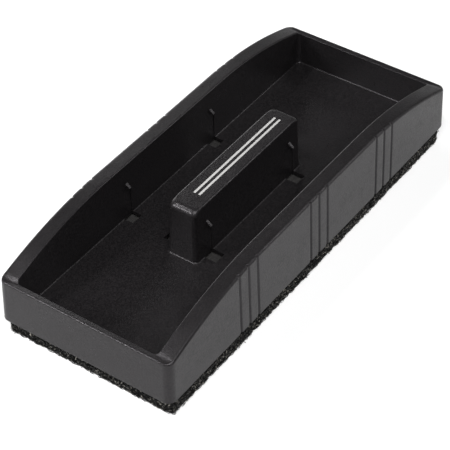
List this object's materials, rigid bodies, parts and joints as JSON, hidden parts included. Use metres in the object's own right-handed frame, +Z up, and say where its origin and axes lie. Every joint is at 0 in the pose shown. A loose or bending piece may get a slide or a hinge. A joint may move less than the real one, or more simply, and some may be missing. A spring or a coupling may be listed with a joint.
{
  "type": "board eraser",
  "caption": "Large chalkboard or whiteboard eraser: open black tray with arched sides and a block handle, over a fibrous wiping pad.",
  "frame": {"origin": "middle of the footprint, on the surface that the wiping pad rests on", "axes": "+X along the length, +Y across the width, +Z up out of the tray"},
  "size_m": [0.3048, 0.1242, 0.0566],
  "materials": {
    "moulded_tray": "black injection-moulded plastic, fine matt texture",
    "fibre_pad": "black lofty nonwoven fibre",
    "backing_board": "dark grey pressed felt board",
    "foam_tape": "grey foam mounting tape"
  },
  "bodies": {
    "root": {"tray_body": "moulded_tray", "wiping_pad": "fibre_pad", "backing_board": "backing_board", "side_tape_left": "foam_tape", "side_tape_right": "foam_tape", "end_tape_near": "foam_tape", "end_tape_far": "foam_tape"}
  },
  "joints": []
}
